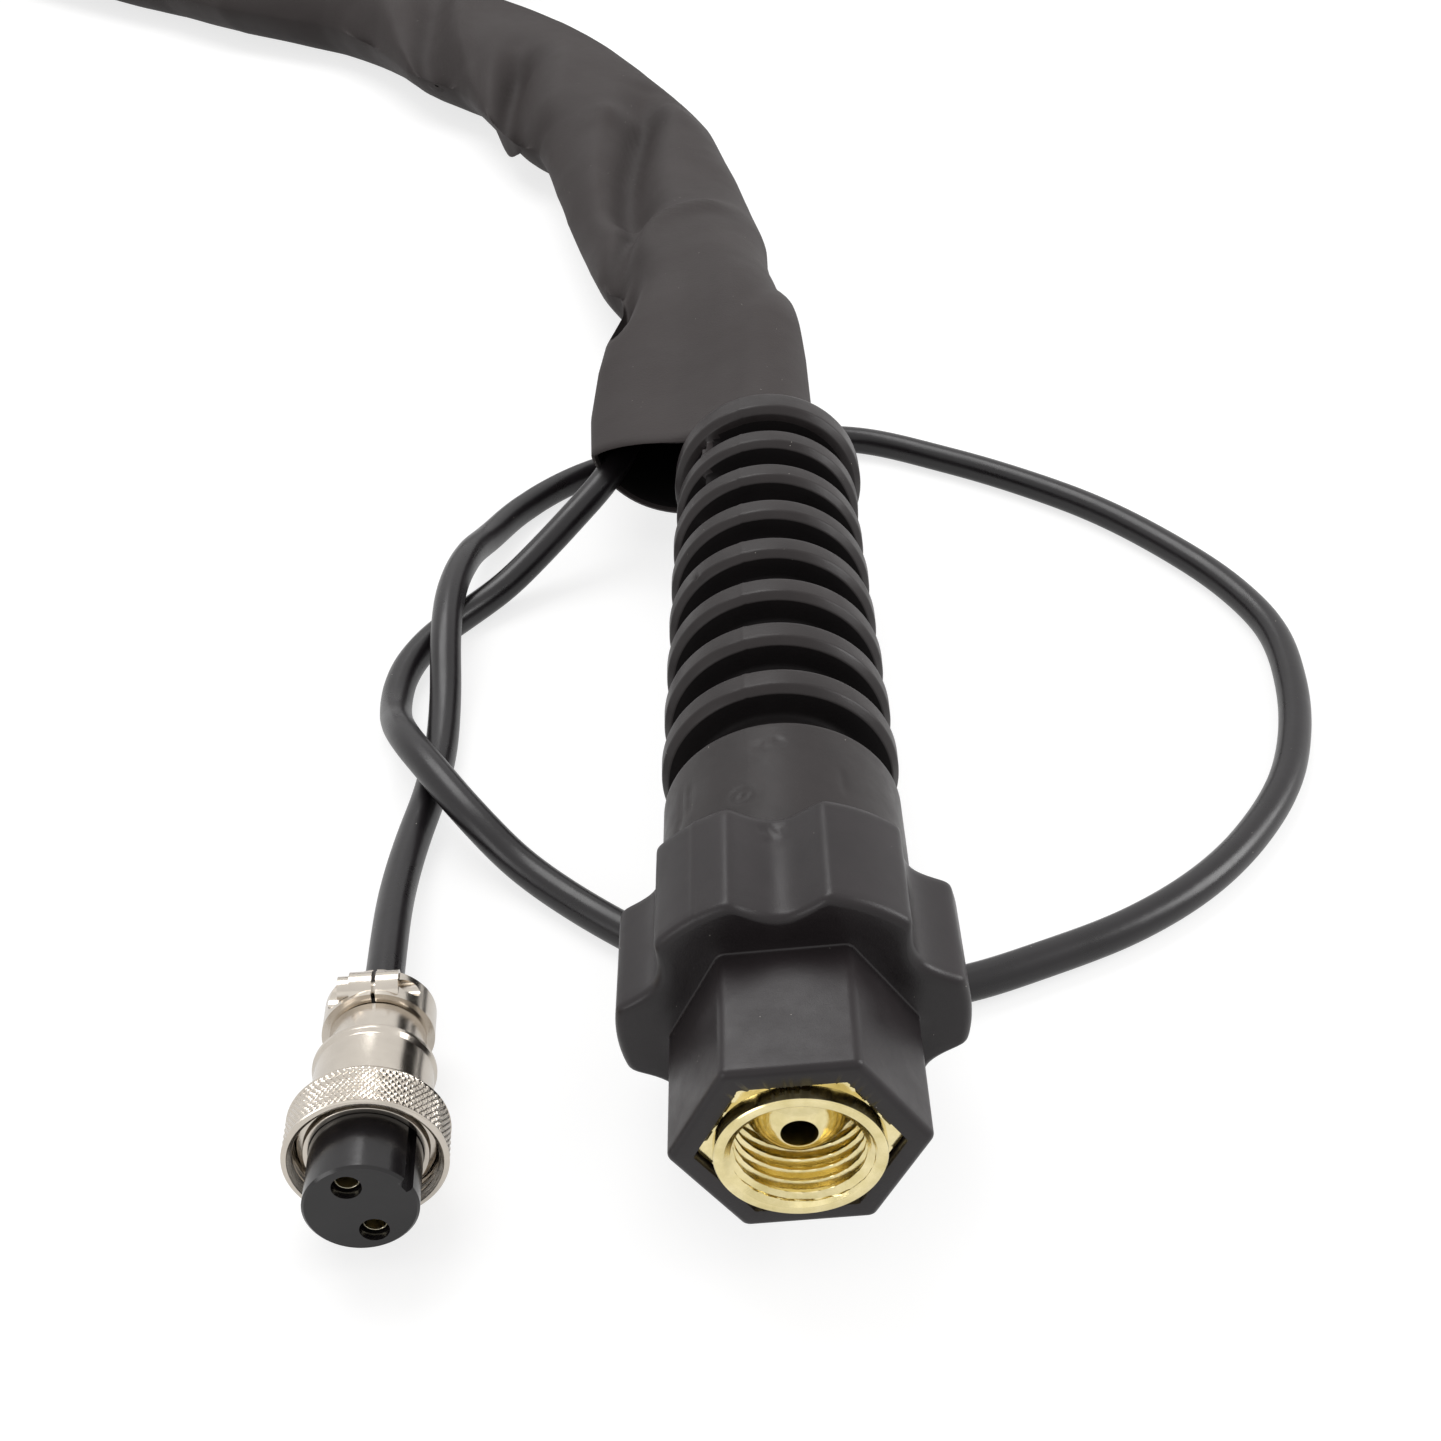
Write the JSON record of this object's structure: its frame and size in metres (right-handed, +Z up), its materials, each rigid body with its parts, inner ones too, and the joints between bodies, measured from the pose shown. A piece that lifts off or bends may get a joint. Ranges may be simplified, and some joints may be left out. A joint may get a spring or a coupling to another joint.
{
  "type": "tig torch",
  "caption": "Gas-cooled TIG torch with sleeved lead: hand-tightened gas-through power connector with ribbed boot, two-pin control plug on a thin cable, and torch with switch.",
  "frame": {"origin": "mouth of the gas bore in the ball nose of the power connector, on the connector's axis", "axes": "+Y runs back along the power connector, away from its mouth; +X to the right seen from the mouth; +Z up, square to the surface that the torch lies on"},
  "size_m": [0.4401, 0.9145, 0.0799],
  "materials": {
    "brass": "turned, polished",
    "nylon": "natural nylon",
    "black_plastic": "moulded, satin",
    "steel": "zinc plated",
    "hose_rubber": "smooth",
    "copper": "bare",
    "boot_rubber": "moulded, satin",
    "leathercloth": "fine matt grain",
    "cable_pvc": "satin PVC",
    "nickel": "nickel plated",
    "insert_plastic": "moulded phenolic",
    "contact_brass": "silver plated",
    "button_plastic": "moulded, satin",
    "head_rubber": "moulded silicone rubber",
    "gasket_white": "PTFE",
    "alumina": "fired, unglazed",
    "tungsten": "ground"
  },
  "bodies": {
    "root": {"connector_stem": "brass", "hose_ferrule": "steel", "power_hose": "hose_rubber", "copper_conductor": "copper", "bend_boot": "boot_rubber", "cable_sleeve": "leathercloth", "cable_sleeve_coil": "leathercloth", "cable_sleeve_tail": "leathercloth", "control_cable": "cable_pvc", "plug_shell": "nickel", "plug_insert": "insert_plastic", "plug_contacts": "contact_brass", "plug_back_shell": "nickel", "cable_clamp": "nickel", "clamp_screws": "nickel", "cable_grommet": "boot_rubber", "handle_cuff": "boot_rubber", "torch_handle": "black_plastic", "switch_housing": "black_plastic", "trigger_spring": "steel", "micro_switch": "insert_plastic", "head_core": "brass", "head_cover": "head_rubber", "collet_body": "copper", "collet": "copper", "cup_gasket": "gasket_white"},
    "nut_carrier": {"nut_slip_ring": "nylon"},
    "nut": {"coupling_nut": "brass", "grip_cover": "black_plastic"},
    "plug_ring_carrier": {"plug_slip_ring": "nylon"},
    "plug_ring": {"plug_coupling_ring": "nickel"},
    "trigger": {"trigger_button": "button_plastic"},
    "cap_carrier": {"cap_o_ring": "boot_rubber"},
    "cap": {"back_cap": "insert_plastic"},
    "cup": {"gas_cup": "alumina"},
    "electrode": {"tungsten_electrode": "tungsten"}
  },
  "joints": [
    {"name": "nut_slide", "type": "slide", "parent": "root", "child": "nut_carrier", "axis": [0, -1, 0], "range_m": [0, 0.003]},
    {"name": "nut_spin", "type": "hinge", "parent": "nut_carrier", "child": "nut", "pos_m": [0, 0, 0], "axis": [0, 1, 0], "continuous": true},
    {"name": "plug_ring_slide", "type": "slide", "parent": "root", "child": "plug_ring_carrier", "axis": [0.0782, -0.9931, 0.0872], "range_m": [0, 0.0008]},
    {"name": "plug_ring_spin", "type": "hinge", "parent": "plug_ring_carrier", "child": "plug_ring", "pos_m": [-0.0491, 0.0086, -0.01105], "axis": [0.0782, -0.9931, 0.0872], "continuous": true},
    {"name": "trigger_press", "type": "slide", "parent": "root", "child": "trigger", "axis": [0.8192, -0.5736, 0], "range_m": [0, 0.0015], "stiffness_N_per_m": 800, "springref_m": -0.002, "deforming": ["trigger_spring"]},
    {"name": "back_cap_advance", "type": "slide", "parent": "root", "child": "cap_carrier", "axis": [-0.9659, 0.2588, 0], "range_m": [0, 0.008]},
    {"name": "back_cap_turn", "type": "hinge", "parent": "cap_carrier", "child": "cap", "pos_m": [-0.22427, 0.86517, 0.0443], "axis": [-0.9659, 0.2588, 0], "range_deg": [0, 2300]},
    {"name": "gas_cup_turn", "type": "hinge", "parent": "root", "child": "cup", "pos_m": [-0.22427, 0.86517, 0.0443], "axis": [0.9659, -0.2588, 0], "continuous": true},
    {"name": "electrode_feed", "type": "slide", "parent": "root", "child": "electrode", "axis": [0.9659, -0.2588, 0], "range_m": [-0.005, 0.01]}
  ],
  "couplings": [
    {"joint": "back_cap_advance", "follows": "back_cap_turn", "m_per_rad": 0.00019894}
  ]
}
